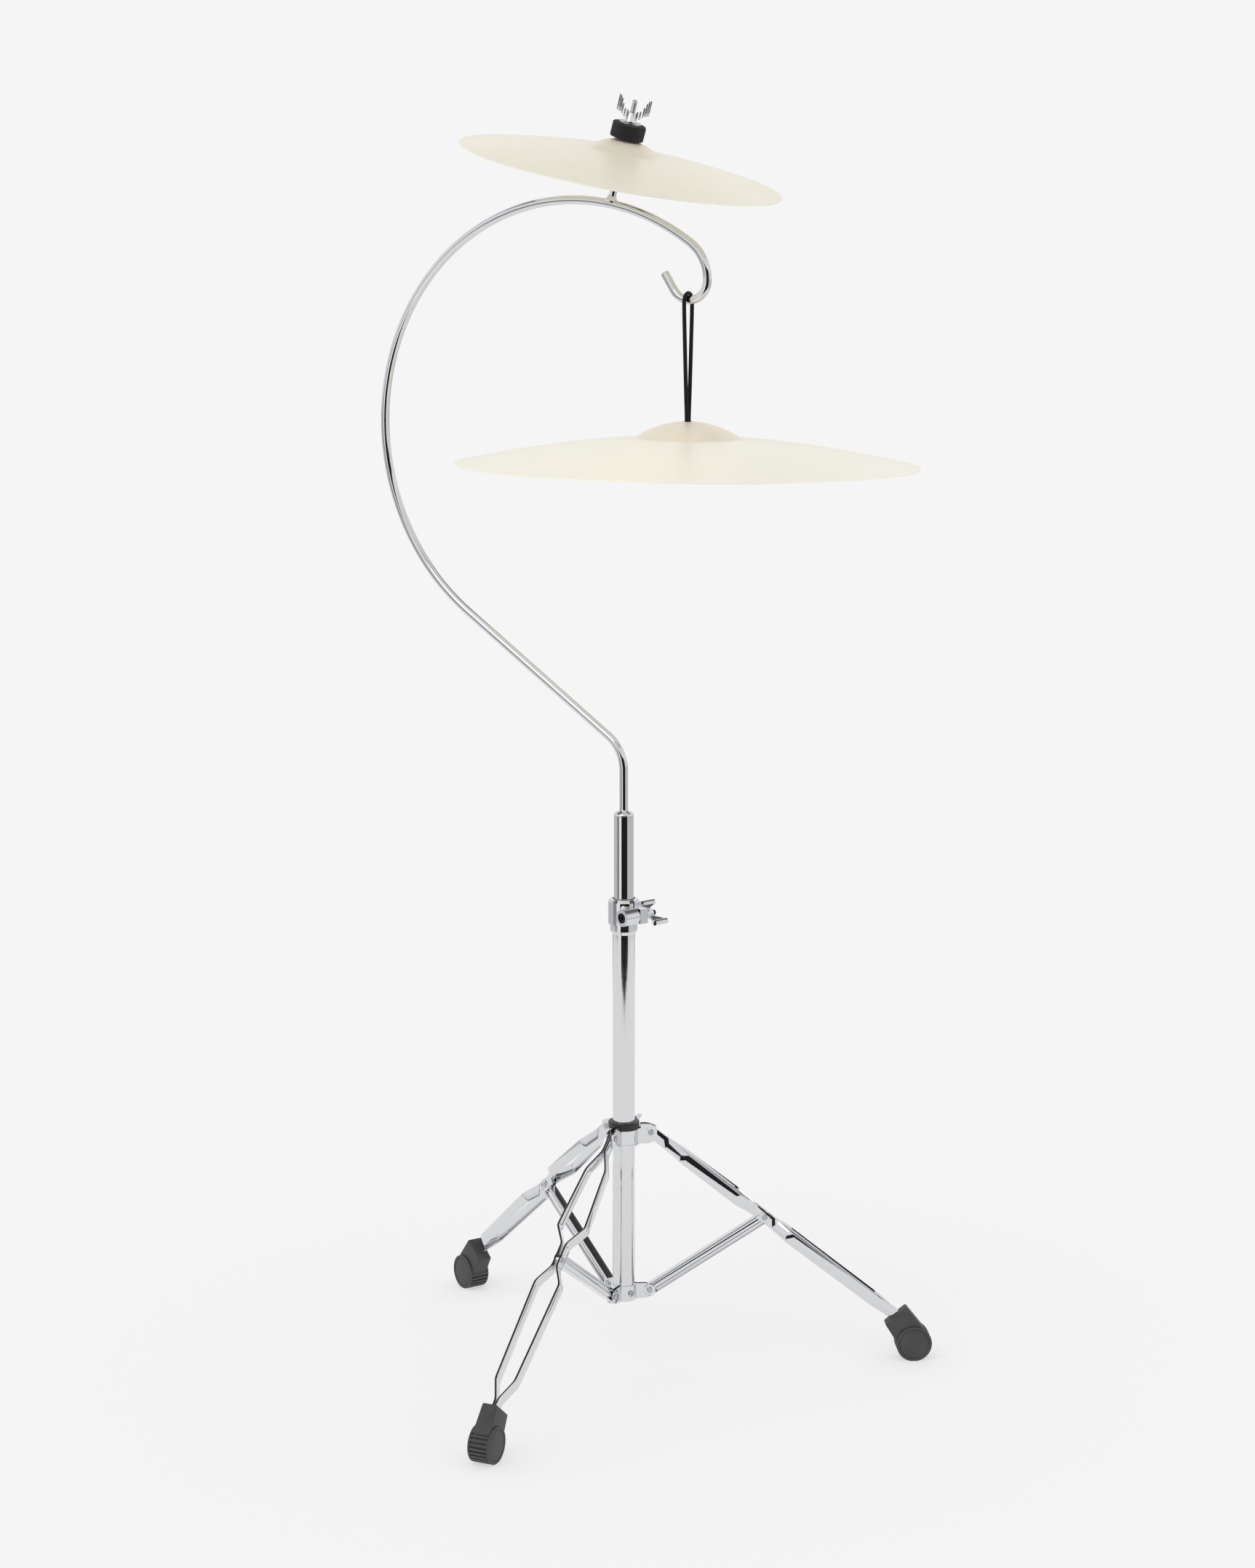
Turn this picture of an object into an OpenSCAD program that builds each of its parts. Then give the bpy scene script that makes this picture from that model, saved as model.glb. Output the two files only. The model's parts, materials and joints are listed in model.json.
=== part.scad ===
// Cymbal stand: a folding tripod, a height tube with a split clamp, and a bent rod that carries a
// large cymbal on a loop of cord and a small cymbal on felts. Z is up, and the origin is on the
// floor on the tubes' axis. Millimetres.

/* [Tripod] */
// Direction of the first leg, in degrees from the X axis
leg_turn = 4; // [0:1:30]
// Distance of each foot's wheel centre from the axis
foot_reach = 336; // [334:1:338]
// Slope of a leg below level, in degrees
leg_slope = 38.5; // [38:0.25:39]
// Height of the legs' pivots on the sliding hub
hub_z = 279; // [278:1:280]
// Height of the braces' pivots on the lower bracket
bracket_z = 90.7; // [88:0.5:93]
// Length of a leg from its top pivot to the brace's rivet
mid_s = 167.5; // [165:0.5:170]
// Depth of the flat bars
bar_depth = 12.7; // [12:0.1:13]
// Thickness of the flat bars
bar_thick = 2.4; // [2.2:0.1:2.5]
// Radius of a foot's wheel
foot_r = 20.6; // [20.4:0.1:20.8]

/* [Tubes] */
// Diameter of the base tube
base_dia = 25.4; // [25.4:0.1:25.5]
// Diameter of the height tube
upper_dia = 22.2; // [22.1:0.1:22.2]
// Height of the height tube's closed top
upper_top = 651; // [640:1:670]
// Length of the height tube
upper_len = 400; // [380:5:420]
// Height of the clamp's bolt
clamp_z = 535.5; // [535:0.5:536]
// Direction of the clamp's bolt, in degrees
clamp_turn = 40; // [20:5:60]

/* [Bent rod] */
// Direction in which the hook leans, in degrees
neck_turn = -30; // [-60:1:0]
// Diameter of the bent rod
neck_dia = 9.6; // [9.4:0.1:9.8]
// Length of the straight between the foot bend and the big arc
neck_rise = 224; // [215:1:235]
// Radius of the big arc
neck_arc_r = 255.5; // [250:0.5:260]

/* [Cymbals] */
// Diameter of the hanging cymbal
large_dia = 508; // [500:1:516]
// Diameter of the small cymbal
small_dia = 355.6; // [350:0.1:360]
// Thickness of both cymbals
sheet = 1.3; // [1.2:0.1:1.4]
// Lean of the threaded post from upright, in degrees
post_lean = 15.8; // [15:0.1:17]
// How far the small cymbal rocks back towards level, in degrees
small_rock = 4.4; // [3.5:0.1:4.5]
// Diameter of the cord
cord_dia = 4.4; // [4:0.1:4.6]

/* [Hidden] */

chrome = "#c8cbd0";
rubber = "#2b2b2d";
steel = "#b4b6b8";
bronze = "#e9e4d2";
run = 0.06;          // radial clearance of a running fit
gap = 0.3;           // clearance between bodies that only pass each other

// Tubes
base_r = base_dia / 2;
base_in_r = base_r - 1.2;
base_z0 = 83;
base_z1 = clamp_z - 2.5;
upper_r = upper_dia / 2;
upper_in_r = upper_r - 1.4;
upper_z0 = upper_top - upper_len;

// Tripod
hub_r = 30.65;
bracket_r = 29.5;
rivet_r = 2.4;
hub_bore_r = base_r + 0.08;
hub_z0 = 265.3;
hub_z1 = 283.7;
ring_h = 9;
ear_thick = 1.8;
half_gap = bar_thick / 2 + 0.35;           // half the clear gap round a brace
hub_gap = bar_thick + 0.4;                 // half the clear gap between the hub's ears
mid = [hub_r + mid_s * cos(leg_slope), hub_z - mid_s * sin(leg_slope)];
brace_len = norm(mid - [bracket_r, bracket_z]);
brace_slope = atan2(mid[1] - bracket_z, mid[0] - bracket_r);
foot_z = foot_r - 0.4;                     // the wheel has a small flat on the floor
foot_s = (foot_reach - hub_r) * cos(leg_slope) + (hub_z - foot_z) * sin(leg_slope);
foot_n = (foot_reach - hub_r) * sin(leg_slope) - (hub_z - foot_z) * cos(leg_slope);
strap_end = foot_s - 18;

// Clamp
collar_r = base_r + 2.6;
clamp_body_r = 17.6;
clamp_z0 = 512;
clamp_z1 = 552.5;
collar_z1 = 524;
bolt_r = 3;
bolt_off = 20;
lug_r = 9.6;
lug_block = [11.2, 15, 17];
washer_x = 12;
bush_z0 = base_z1 + 0.3;
bush_z1 = clamp_z1 - 1;
nut_x0 = 13.5;

// Bent rod: each step is [turn, length or radius, angle]; turn 1 is left, -1 is right, 0 is straight
neck_r = neck_dia / 2;
neck_z0 = upper_top - 16;
foot_bend_z = 699;
neck_steps = [
    [0, foot_bend_z - neck_z0, 0],
    [1, 45, 55.4],
    [0, neck_rise, 0],
    [-1, neck_arc_r, 179.4],
    [-1, 45.3, 56],
    [0, 1, 0],
    [-1, 22.3, 147],
    [0, 21, 0]
];
arc_step = 3;

// Post and the small cymbal's stack, as distances along the post from the rod's centreline
post_at = 9.5;             // where the post stands on the big arc, in degrees from its top
shank_r = 4.1;
thread_r = 3;
shank_len = 36.5;
seat_s = 58.8;
felt_s = 60.2;
felt_r = 18.3;
sleeve_r = 4.4;
felt_bore_r = sleeve_r + run;
pivot_s = 71.7;
upper_felt_s = 72.9;
upper_felt_h = 16.8;
top_washer_s = upper_felt_s + upper_felt_h + 0.2;
top_nut_s = top_washer_s + 1.4;
post_len = 115.6;

// Cymbals: [radius, bell radius, bell height, bow height, hole radius]
large = [large_dia / 2, 59.5, 19, 28, 6];
small = [small_dia / 2, 39.5, 14, 18.5, 6];

// Cord: half of its route from the hook's centre down to the knot, as [across, height]
hang_u = 80.5;
hook_z = 1224.6;
cord_r = cord_dia / 2;
knot_z = -134;
bell_z = -131.4;
cord_side = [
    [0, 7.4], [2.4, 7.1], [4.6, 6.1], [6.5, 4.5], [7.9, 2.4], [8.6, 0.3], [8.8, -2.2], [8.6, -12],
    [8.1, -24], [7.5, -36], [6.9, -48], [6.3, -60], [5.7, -72], [5, -84], [4.4, -96], [3.8, -106],
    [3.1, -116], [2.6, -124], [2.4, -130], [2.4, knot_z]
];
large_tilt = [-2, 0.6, 0];
large_shift = [0.3, 0.9, 0];

// ---- helpers ----

function unit(v) = v / norm(v);
function along(a) = [cos(a), sin(a)];
function last(p) = p[len(p) - 1];

// A path with each inner corner softened over the distance d on both sides
function softened(p, d, n = 3) = concat(
    [p[0]],
    [
        for (i = [1:len(p) - 2], k = [0:n])
        let (
            a = p[i] + d * unit(p[i - 1] - p[i]),
            b = p[i] + d * unit(p[i + 1] - p[i]),
            t = k / n
        )
        (1 - t) * (1 - t) * a + 2 * t * (1 - t) * p[i] + t * t * b
    ],
    [last(p)]
);

// The line at the distance w to the left of a path
function beside(p, w) = [
    for (i = [0:len(p) - 1])
    let (
        d = unit(p[min(i + 1, len(p) - 1)] - p[max(i - 1, 0)])
    )
    p[i] + w * [-d[1], d[0]]
];

function reversed(p) = [for (i = [len(p) - 1:-1:0]) p[i]];
function band(p, w) = concat(beside(p, w / 2), reversed(beside(p, -w / 2)));

// A round bar through rings in the plane Z = 0, each [x, y, heading, radius]
module swept(rings, sides) {
    n = len(rings);
    points = [
        for (q = rings, k = [0:sides - 1])
        let (a = 360 * k / sides)
        [q[0] - q[3] * sin(q[2]) * cos(a), q[1] + q[3] * cos(q[2]) * cos(a), q[3] * sin(a)]
    ];
    skin = [
        for (i = [0:n - 2], k = [0:sides - 1])
        let (a = i * sides + k, b = i * sides + (k + 1) % sides)
        each [[a, b + sides, b], [a, a + sides, b + sides]]
    ];
    polyhedron(points, concat(
        skin,
        [[for (k = [0:sides - 1]) k]],
        [[for (k = [sides - 1:-1:0]) (n - 1) * sides + k]]
    ));
}

// The frame of leg i: X runs down the leg from its top pivot, Y across it
module leg_frame(i) {
    rotate([0, 0, leg_turn + 120 * (i - 1)])
        translate([hub_r, 0, hub_z])
            rotate([0, leg_slope, 0])
                children();
}

module brace_frame(i) {
    rotate([0, 0, leg_turn + 120 * (i - 1)])
        translate([bracket_r, 0, bracket_z])
            rotate([0, -brace_slope, 0])
                children();
}

// A cylinder across the leg's plane, from y0 to y1
module across(r, y0, y1) {
    translate([0, y1, 0])
        rotate([90, 0, 0])
            cylinder(h = y1 - y0, r = r, $fn = 32);
}

module tube(r, bore, z0, z1) {
    translate([0, 0, z0])
        difference() {
            cylinder(h = z1 - z0, r = r, $fn = 64);
            translate([0, 0, -1])
                cylinder(h = z1 - z0 + 2, r = bore, $fn = 64);
        }
}

// ---- base column ----

module base_tube() {
    color(chrome)
        tube(base_r, base_in_r, base_z0, base_z1);
}

// One pressed ear: a plate at the distance y from the leg's plane, out past the pivot
module ear(side, y, r0, pivot_r, z, h, reach) {
    translate([0, side > 0 ? y + ear_thick : -y, 0])
        rotate([90, 0, 0])
            linear_extrude(ear_thick)
                polygon(softened([
                    [r0, z - h / 2],
                    [pivot_r - 3, z - h / 2],
                    [pivot_r + reach, z - h / 2 + 4],
                    [pivot_r + reach, z + h / 2 - 4],
                    [pivot_r - 3, z + h / 2],
                    [r0, z + h / 2]
                ], 3));
}

petal_h = 18;
petal_z = bracket_z - 1;

module bracket_petal(i) {
    a0 = leg_turn + 120 * (i - 1);
    wall = 2;
    start = 11;
    color(chrome)
        difference() {
            union() {
                rotate([0, 0, a0 + start])
                    rotate_extrude(angle = 120 - 2 * start, $fn = 64)
                        translate([base_r - 0.6, petal_z - petal_h / 2])
                            square([wall + 0.6, petal_h]);
                for (k = [0, 1])
                    rotate([0, 0, a0 + 120 * k])
                        difference() {
                            ear(k == 0 ? 1 : -1, half_gap, 12.3, bracket_r, petal_z, petal_h - 0.8, 6.5);
                            translate([bracket_r, 0, bracket_z])
                                across(rivet_r, -6, 6);
                        }
            }
            translate([0, 0, base_z0 - 40])
                cylinder(h = 80, r = base_r, $fn = 64);
            rotate([0, 0, a0 + 60])
                translate([0, 0, petal_z])
                    rotate([0, 90, 0])
                        cylinder(h = 40, r = 2, $fn = 24);
        }
}

module bracket_screws() {
    color(steel)
        for (i = [1:3])
            rotate([0, 0, leg_turn + 120 * (i - 1) + 60])
                translate([base_r + 2, 0, petal_z])
                    rotate([0, 90, 0])
                        difference() {
                            union() {
                                translate([0, 0, -2])
                                    cylinder(h = 2, r = 2, $fn = 24);
                                cylinder(h = 1.2, r = 3.8, $fn = 32);
                                translate([0, 0, 1.2])
                                    cylinder(h = 0.8, r1 = 3.8, r2 = 2.4, $fn = 32);
                            }
                            for (q = [0, 90])
                                rotate([0, 0, q])
                                    translate([-2, -0.45, 1])
                                        cube([4, 0.9, 2]);
                        }
}

// A rivet with two domed heads outside the faces at y = -w and y = w
module rivet(r, w) {
    across(r, -w, w);
    for (s = [-1, 1])
        translate([0, s * w, 0])
            rotate([-90 * s, 0, 0]) {
                cylinder(h = 0.7, r = r + 1, $fn = 32);
                translate([0, 0, 0.7])
                    cylinder(h = 0.7, r1 = r + 1, r2 = r, $fn = 32);
            }
}

module brace_rivets() {
    color(steel)
        for (i = [1:3])
            rotate([0, 0, leg_turn + 120 * (i - 1)])
                translate([bracket_r, 0, bracket_z])
                    rivet(rivet_r, half_gap + ear_thick);
}

// ---- clamp ----

// The frame of the clamp's bolt: X runs along the bolt, and X = 0 is in the collar's slot
module clamp_frame() {
    translate([0, 0, clamp_z])
        rotate([0, 0, clamp_turn])
            translate([0, -bolt_off, 0])
                children();
}

module along_bolt(r, x0, x1, r2 = 0) {
    translate([x0, 0, 0])
        rotate([0, 90, 0])
            cylinder(h = x1 - x0, r1 = r, r2 = r2 == 0 ? r : r2, $fn = 40);
}

module clamp_body() {
    color(chrome)
        difference() {
            union() {
                translate([0, 0, clamp_z0])
                    cylinder(h = 4, r1 = collar_r - 1.6, r2 = collar_r, $fn = 64);
                translate([0, 0, clamp_z0 + 4])
                    cylinder(h = collar_z1 - clamp_z0 - 4, r = collar_r, $fn = 64);
                translate([0, 0, collar_z1])
                    cylinder(h = clamp_z1 - collar_z1 - 3, r = clamp_body_r, $fn = 64);
                translate([0, 0, clamp_z1 - 3])
                    cylinder(h = 3, r1 = clamp_body_r, r2 = clamp_body_r - 2.5, $fn = 64);
                clamp_frame() {
                    along_bolt(lug_r, -20, -0.8);
                    translate([0.8, -lug_block[1] / 2 - 0.5, -lug_block[2] / 2])
                        cube(lug_block);
                }
            }
            translate([0, 0, clamp_z0 - 1])
                cylinder(h = 60, r = base_r, $fn = 64);
            clamp_frame() {
                along_bolt(bolt_r + 0.15, -30, 20);
                along_bolt(6.2, -30, -16.5);
                translate([-0.8, -20, -clamp_z + collar_z1])
                    cube([1.6, 32, 60]);
            }
        }
}

module clamp_bolt() {
    color(steel)
        clamp_frame()
            difference() {
                union() {
                    along_bolt(5.6, -18.6, -16.5);
                    along_bolt(bolt_r, -16.5, 28);
                }
                along_bolt(2.4, -20, -17.6);
            }
}

module clamp_washer() {
    color(steel)
        clamp_frame()
            difference() {
                along_bolt(6.2, washer_x, washer_x + 1.2);
                along_bolt(bolt_r + 0.15, 10, 16);
            }
}

// A wing nut along X: a cone of a hub, and two flat wings whose outer edges are rolled
module wing_nut(reach, x0, x1, roll) {
    along_bolt(6.6, 0, 3);
    along_bolt(6.6, 3, 10, 5);
    for (s = [0, 180])
        rotate([s, 0, 0])
            translate([0, 1.2, 0])
                rotate([90, 0, 0])
                    linear_extrude(2.4)
                        polygon([
                            [1.5, 3], [4, 6.2], [x0, reach - 1], [x0, reach], [x1, reach],
                            [x1 - 3, reach - 4], [11, 6], [9.5, 3]
                        ]);
    for (s = [-1, 1])
        translate([0, 0, s * reach])
            along_bolt(roll, x0, x1);
}

clamp_wing_turn = -51;

module clamp_nut() {
    color(chrome)
        clamp_frame()
            translate([nut_x0, 0, 0])
                rotate([clamp_wing_turn, 0, 0])
                    difference() {
                        wing_nut(14.2, 5.5, 23, 3.4);
                        along_bolt(bolt_r + run, -1, 30);
                    }
}

module slide_bush() {
    color("#26272a")
        tube(base_r - run, upper_r + run, bush_z0, bush_z1);
}

// ---- hub ----

module hub_body() {
    color(chrome)
        difference() {
            union() {
                translate([0, 0, hub_z0])
                    cylinder(h = hub_z1 - hub_z0, r = 16.4, $fn = 64);
                translate([0, 0, hub_z0])
                    cylinder(h = 2, r = 17.6, $fn = 64);
                for (i = [1:3])
                    rotate([0, 0, leg_turn + 120 * (i - 1)])
                        for (s = [-1, 1])
                            difference() {
                                ear(s, hub_gap, 15, hub_r, hub_z - 1.5, 23, 7);
                                translate([0, -10, hub_z1])
                                    cube([19, 20, 20]);
                                translate([hub_r, 0, hub_z])
                                    across(rivet_r, -9, 9);
                            }
                rotate([0, 0, leg_turn + 60])
                    translate([14, 0, (hub_z0 + hub_z1) / 2])
                        rotate([0, 90, 0])
                            cylinder(h = 9, r = 7, $fn = 40);
            }
            translate([0, 0, hub_z0 - 1])
                cylinder(h = 40, r = hub_bore_r, $fn = 64);
            rotate([0, 0, leg_turn + 60])
                translate([0, 0, (hub_z0 + hub_z1) / 2])
                    rotate([0, 90, 0])
                        cylinder(h = 40, r = bolt_r + run, $fn = 32);
        }
}

module hub_ring() {
    color("#1b1b1c")
        rotate_extrude($fn = 64)
            polygon(softened([
                [hub_bore_r, hub_z1],
                [17.8, hub_z1],
                [17.8, hub_z1 + ring_h],
                [hub_bore_r, hub_z1 + ring_h]
            ], 1.6));
}

module hub_rivets() {
    color(steel)
        for (i = [1:3])
            rotate([0, 0, leg_turn + 120 * (i - 1)])
                translate([hub_r, 0, hub_z])
                    rivet(rivet_r, hub_gap + ear_thick);
}

module hub_lock() {
    color(chrome)
        rotate([0, 0, leg_turn + 60])
            translate([0, 0, (hub_z0 + hub_z1) / 2]) {
                along_bolt(bolt_r, base_r + gap, 26);
                translate([24, 0, 0])
                    wing_nut(13, 5, 18, 2.6);
            }
}

// ---- legs ----

// Half the distance between the straps' middles, along the leg
strap_path = [
    [-bar_depth / 2, bar_thick / 2 + 0.1],
    [24, bar_thick / 2 + 0.1],
    [48, 12],
    [126, 16.6],
    [150, half_gap + bar_thick / 2],
    [180, half_gap + bar_thick / 2],
    [202, 14.8],
    [330, 11.6],
    [355, bar_thick / 2 + 0.1],
    [strap_end, bar_thick / 2 + 0.1]
];

module strap(i, side) {
    color(chrome)
        leg_frame(i)
            difference() {
                intersection() {
                    translate([0, 0, -bar_depth / 2])
                        linear_extrude(bar_depth)
                            polygon(band(
                                [for (p = softened(strap_path, 6)) [p[0], side * p[1]]],
                                bar_thick));
                    union() {
                        across(bar_depth / 2, -30, 30);
                        translate([0, -30, -bar_depth])
                            cube([foot_s, 60, 2 * bar_depth]);
                    }
                }
                across(rivet_r + run, -9, 9);
                translate([mid_s, 0, 0])
                    across(rivet_r, -9, 9);
            }
}

// Two rivet halves that stop flush with the straps' inner faces
module mid_rivet(i) {
    color(steel)
        leg_frame(i)
            translate([mid_s, 0, 0])
                difference() {
                    rivet(rivet_r, half_gap + bar_thick);
                    translate([-10, -half_gap, -10])
                        cube([20, 2 * half_gap, 20]);
                }
}

// A foot's boot, seen from the side, from the wheel's centre
boot = [
    [-40.7, -2.6], [-33.3, 28.4], [-5.5, 25], [6, 19.2], [0, 0], [-13.7, -15.6]
];

module foot(i) {
    color(rubber)
        difference() {
            leg_frame(i)
                difference() {
                    translate([foot_s, 0, foot_n]) {
                        across(foot_r, -12.5, 12.5);
                        translate([0, 9.5, 0])
                            rotate([90, 0, 0])
                                linear_extrude(19)
                                    polygon(boot);
                    }
                    translate([foot_s - 60, -bar_thick - 0.1, -bar_depth / 2])
                        cube([strap_end - foot_s + 60, 2 * bar_thick + 0.2, bar_depth]);
                }
            translate([-500, -500, -100])
                cube([1000, 1000, 100]);
        }
}

module brace(i) {
    color(chrome)
        brace_frame(i)
            difference() {
                translate([0, bar_thick / 2, 0])
                    rotate([90, 0, 0])
                        linear_extrude(bar_thick) {
                            circle(bar_depth / 2, $fn = 48);
                            translate([brace_len, 0])
                                circle(bar_depth / 2, $fn = 48);
                            translate([0, -bar_depth / 2])
                                square([brace_len, bar_depth]);
                        }
                across(rivet_r + run, -3, 3);
                translate([brace_len, 0, 0])
                    across(rivet_r + 0.3, -3, 3);
            }
}

// ---- height tube and bent rod ----

module upper_tube() {
    color(chrome)
        tube(upper_r, upper_in_r, upper_z0, upper_top - 3);
}

module tube_plug() {
    color(chrome)
        rotate_extrude($fn = 64)
            polygon(concat(
                [[neck_r, neck_z0], [upper_in_r, neck_z0], [upper_in_r, upper_top - 3]],
                [for (a = [0:15:75]) [upper_r - 4 + 4 * cos(a), upper_top - 3 + 4 * sin(a)]],
                [[neck_r + 1.6, upper_top + 1.6], [neck_r, upper_top + 3.2]]
            ));
}

// Where step i of the bent rod begins: [distance out, height, heading]
function neck_at(i) = i == 0 ? [0, neck_z0, 90] :
    let (p = neck_at(i - 1), s = neck_steps[i - 1]) after(p, s[0], s[1], s[2]);

function after(p, turn, size, angle) = turn == 0 ?
    [p[0] + size * cos(p[2]), p[1] + size * sin(p[2]), p[2]] :
    let (
        c = [p[0], p[1]] + size * along(p[2] + 90 * turn),
        h = p[2] + turn * angle,
        q = c + size * along(h - 90 * turn)
    )
    [q[0], q[1], h];

// The upright plane in which the rod is bent: X is out towards the hook, Y is up
module neck_plane() {
    rotate([0, 0, neck_turn])
        rotate([90, 0, 0])
            children();
}

module neck_piece(turn, size, angle) {
    if (turn == 0)
        rotate([0, 90, 0])
            cylinder(h = size, r = neck_r, $fn = 48);
    else
        translate([0, turn * size, 0])
            rotate([0, 0, turn > 0 ? -90 : 90 - angle])
                rotate_extrude(angle = angle, $fn = 180)
                    translate([size, 0])
                        circle(neck_r, $fn = 48);
}

// Step i of the bent rod, in its place
module neck_step(i) {
    neck_plane()
        let (p = neck_at(i), s = neck_steps[i])
            translate([p[0], p[1], 0])
                rotate([0, 0, p[2]])
                    neck_piece(s[0], s[1], s[2]);
}

// The rod's rings: [distance out, height, heading, radius]
neck_ends = neck_at(len(neck_steps));
neck_rings = concat(
    [concat(neck_at(0), neck_r)],
    [
        for (i = [0:len(neck_steps) - 1])
        let (
            p = neck_at(i),
            s = neck_steps[i],
            n = s[0] == 0 ? 1 : ceil(s[2] / (s[1] > 100 ? 3 : 8))
        )
        for (k = [1:n])
        concat(s[0] == 0 ? after(p, 0, s[1], 0) : after(p, s[0], s[1], s[2] * k / n), neck_r)
    ],
    [concat(after(neck_ends, 0, 1.2, 0), neck_r - 1.2)]
);

module gooseneck() {
    color(chrome)
        neck_plane()
            swept(neck_rings, 20);
}

arc_start = neck_at(arc_step);
arc_centre = [arc_start[0], arc_start[1]] + neck_arc_r * along(arc_start[2] - 90);
post_foot = arc_centre + neck_arc_r * [sin(post_at), cos(post_at)];

// The frame of the threaded post: Z runs up the post from the rod's centreline
module post_frame() {
    rotate([0, 0, neck_turn])
        translate([post_foot[0], 0, post_foot[1]])
            rotate([0, post_lean, 0])
                children();
}

module stacked(r, z0, z1, r2 = 0) {
    translate([0, 0, z0])
        cylinder(h = z1 - z0, r1 = r, r2 = r2 == 0 ? r : r2, $fn = 48);
}

module post() {
    color(chrome)
        difference() {
            post_frame() {
                stacked(shank_r, 0, shank_len - 1);
                stacked(shank_r, shank_len - 1, shank_len, thread_r);
                stacked(thread_r, shank_len, post_len - 1.2);
                stacked(thread_r, post_len - 1.2, post_len, thread_r - 1);
            }
            neck_step(arc_step);
        }
}

module post_weld() {
    color(chrome)
        difference() {
            post_frame()
                difference() {
                    stacked(7.4, 1, 9.4, shank_r + 0.3);
                    stacked(shank_r, 0, 12);
                }
            neck_step(arc_step);
        }
}

// A ring round the post, or round the sleeve on it
module post_ring(points, bore) {
    post_frame()
        rotate_extrude($fn = 64)
            polygon([for (p = points) [max(p[0], bore), p[1]]]);
}

module seat_washer() {
    color(steel)
        post_ring([[0, seat_s - 3], [6, seat_s - 3], [6, seat_s], [13, seat_s], [13, felt_s - 0.2],
            [0, felt_s - 0.2]], thread_r);
}

module sleeve() {
    color("#202022")
        post_ring([[0, felt_s - 0.2], [sleeve_r, felt_s - 0.2], [sleeve_r, top_washer_s - 3],
            [0, top_washer_s - 3]], thread_r);
}

module lower_felt() {
    color("#3a3a3a")
        post_ring([[0, felt_s], [felt_r - 1, felt_s], [felt_r, felt_s + 1], [felt_r, pivot_s - 5.9],
            [felt_r - 0.8, pivot_s - 5.1], [16, pivot_s - 4.5], [12, pivot_s - 3.2],
            [7, pivot_s - 2], [0, pivot_s - 1.8]], felt_bore_r);
}

module upper_felt() {
    color("#3a3a3a")
        post_ring([[0, upper_felt_s], [felt_r - 1, upper_felt_s], [felt_r, upper_felt_s + 1],
            [felt_r, upper_felt_s + upper_felt_h - 1], [felt_r - 1, upper_felt_s + upper_felt_h],
            [0, upper_felt_s + upper_felt_h]], felt_bore_r);
}

module upper_washer() {
    color(steel)
        post_ring([[0, top_washer_s], [12.5, top_washer_s], [12.5, top_washer_s + 1.2],
            [0, top_washer_s + 1.2]], thread_r);
}

nut_turn = 30;

module top_nut() {
    color(chrome)
        post_frame()
            translate([0, 0, top_nut_s])
                rotate([0, 0, nut_turn])
                    rotate([0, -90, 0])
                        difference() {
                            wing_nut(15.4, 10, 28, 3.2);
                            along_bolt(thread_r + run, -1, 30);
                        }
}

// ---- cymbals and cord ----

// Height of a cymbal's top at the distance r from its axis, below the middle of its bell
function dish(c, r) = r < c[1] ?
    let (k = (c[1] * c[1] + c[2] * c[2]) / (2 * c[2])) sqrt(k * k - r * r) - k :
    -c[2] - c[3] * pow((r - c[1]) / (c[0] - c[1]), 1.5);

module cymbal(c) {
    bell = [for (i = [0:7]) c[4] + (c[1] - 1.5 - c[4]) * i / 7];
    bow = [for (i = [0:13]) c[1] + 2 + (c[0] - c[1] - 2) * i / 13];
    top = [for (r = concat(bell, bow)) [r, dish(c, r)]];
    rotate_extrude($fn = 128)
        polygon(concat(top, reversed([for (p = top) p - [0, sheet]])));
}

module small_cymbal() {
    color(bronze)
        post_frame()
            translate([0, 0, pivot_s])
                rotate([0, -small_rock, 0])
                    translate([0, 0, sheet / 2])
                        cymbal(small);
}

module hook_frame() {
    rotate([0, 0, neck_turn])
        translate([hang_u, 0, hook_z])
            children();
}

module large_cymbal() {
    color(bronze)
        hook_frame()
            translate([0, 0, bell_z])
                rotate([0, 0, -neck_turn])
                    translate(large_shift)
                        rotate(large_tilt)
                            cymbal(large);
}

// The headings of a route of points
function headings(p) = [
    for (i = [0:len(p) - 1])
    let (d = p[min(i + 1, len(p) - 1)] - p[max(i - 1, 0)])
    atan2(d[1], d[0])
];

module cord_loop() {
    left = [for (p = reversed(cord_side)) [-p[0], p[1]]];
    right = [for (i = [1:len(cord_side) - 1]) cord_side[i]];
    route = concat(left, right);
    turn = headings(route);
    color("#151516")
        hook_frame()
            rotate([90, 0, 90])
                swept([for (i = [0:len(route) - 1]) concat(route[i], turn[i], cord_r)], 10);
}

module cord_knot() {
    color("#151516")
        hook_frame()
            translate([0, 0, knot_z])
                rotate_extrude($fn = 48)
                    polygon([
                        [0, 0], [4.9, 0], [7, -2.2], [8, -5], [7.8, -8.5], [5.8, -11.4], [0, -12]
                    ]);
}

base_tube();
bracket_screws();
brace_rivets();
clamp_body();
clamp_bolt();
clamp_washer();
clamp_nut();
slide_bush();
hub_body();
hub_ring();
hub_rivets();
hub_lock();
for (i = [1:3]) {
    bracket_petal(i);
    strap(i, 1);
    strap(i, -1);
    foot(i);
    mid_rivet(i);
    brace(i);
}
upper_tube();
tube_plug();
gooseneck();
post();
post_weld();
seat_washer();
sleeve();
lower_felt();
small_cymbal();
upper_felt();
upper_washer();
top_nut();
cord_loop();
cord_knot();
large_cymbal();
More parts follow.
